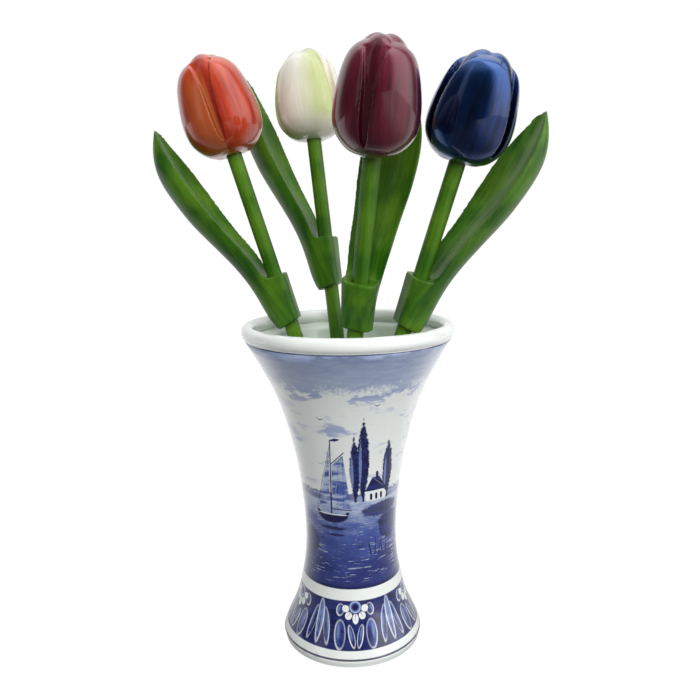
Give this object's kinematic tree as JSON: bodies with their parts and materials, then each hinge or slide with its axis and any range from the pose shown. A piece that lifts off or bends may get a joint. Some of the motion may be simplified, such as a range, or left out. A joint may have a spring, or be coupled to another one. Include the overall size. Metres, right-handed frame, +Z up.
{
  "type": "vase of wooden tulips",
  "caption": "Painted wooden tulips with carved heads and turning leaves, standing loose in a waisted glazed vase with a flared mouth.",
  "frame": {"origin": "centre of the ring that the vase stands on, on the table plane", "axes": "+Z up along the vase's axis, +X to the right and -Y towards the viewer in the picture"},
  "size_m": [0.2084, 0.1567, 0.3458],
  "materials": {
    "vase": "tin glaze with a blue painted landscape",
    "green_paint": "green gloss paint",
    "orange_paint": "brushed gloss paint",
    "white_paint": "brushed gloss paint",
    "wine_red_paint": "brushed gloss paint",
    "blue_paint": "brushed gloss paint"
  },
  "bodies": {
    "vase": {"vase": "vase"},
    "orange_tulip": {"orange_stem": "green_paint", "orange_head": "orange_paint"},
    "orange_leaf": {"orange_leaf": "green_paint"},
    "white_tulip": {"white_stem": "green_paint", "white_head": "white_paint"},
    "white_leaf": {"white_leaf": "green_paint"},
    "wine_red_tulip": {"wine_red_stem": "green_paint", "wine_red_head": "wine_red_paint"},
    "wine_red_leaf": {"wine_red_leaf": "green_paint"},
    "blue_tulip": {"blue_stem": "green_paint", "blue_head": "blue_paint"},
    "blue_leaf": {"blue_leaf": "green_paint"}
  },
  "joints": [
    {"name": "orange_lift", "type": "slide", "parent": "vase", "child": "orange_tulip", "axis": [-0.292, 0.0143, 0.9563], "range_m": [0, 0.2]},
    {"name": "orange_leaf_turn", "type": "hinge", "parent": "orange_tulip", "child": "orange_leaf", "pos_m": [-0.03231, 0.00626, 0.18744], "axis": [-0.292, 0.0143, 0.9563], "range_deg": [-40, 40]},
    {"name": "white_lift", "type": "slide", "parent": "vase", "child": "white_tulip", "axis": [-0.1005, 0.1108, 0.9888], "range_m": [0, 0.2]},
    {"name": "white_leaf_turn", "type": "hinge", "parent": "white_tulip", "child": "white_leaf", "pos_m": [-0.00944, 0.03086, 0.20536], "axis": [-0.1005, 0.1108, 0.9888], "range_deg": [-40, 15]},
    {"name": "wine_red_lift", "type": "slide", "parent": "vase", "child": "wine_red_tulip", "axis": [0.0943, -0.3047, 0.9478], "range_m": [0, 0.2]},
    {"name": "wine_red_leaf_turn", "type": "hinge", "parent": "wine_red_tulip", "child": "wine_red_leaf", "pos_m": [0.00392, -0.03706, 0.19023], "axis": [0.0943, -0.3047, 0.9478], "range_deg": [0, 40]},
    {"name": "blue_lift", "type": "slide", "parent": "vase", "child": "blue_tulip", "axis": [0.283, -0.1399, 0.9489], "range_m": [0, 0.2]},
    {"name": "blue_leaf_turn", "type": "hinge", "parent": "blue_tulip", "child": "blue_leaf", "pos_m": [0.02992, -0.02722, 0.18948], "axis": [0.283, -0.1399, 0.9489], "range_deg": [-40, 40]}
  ]
}
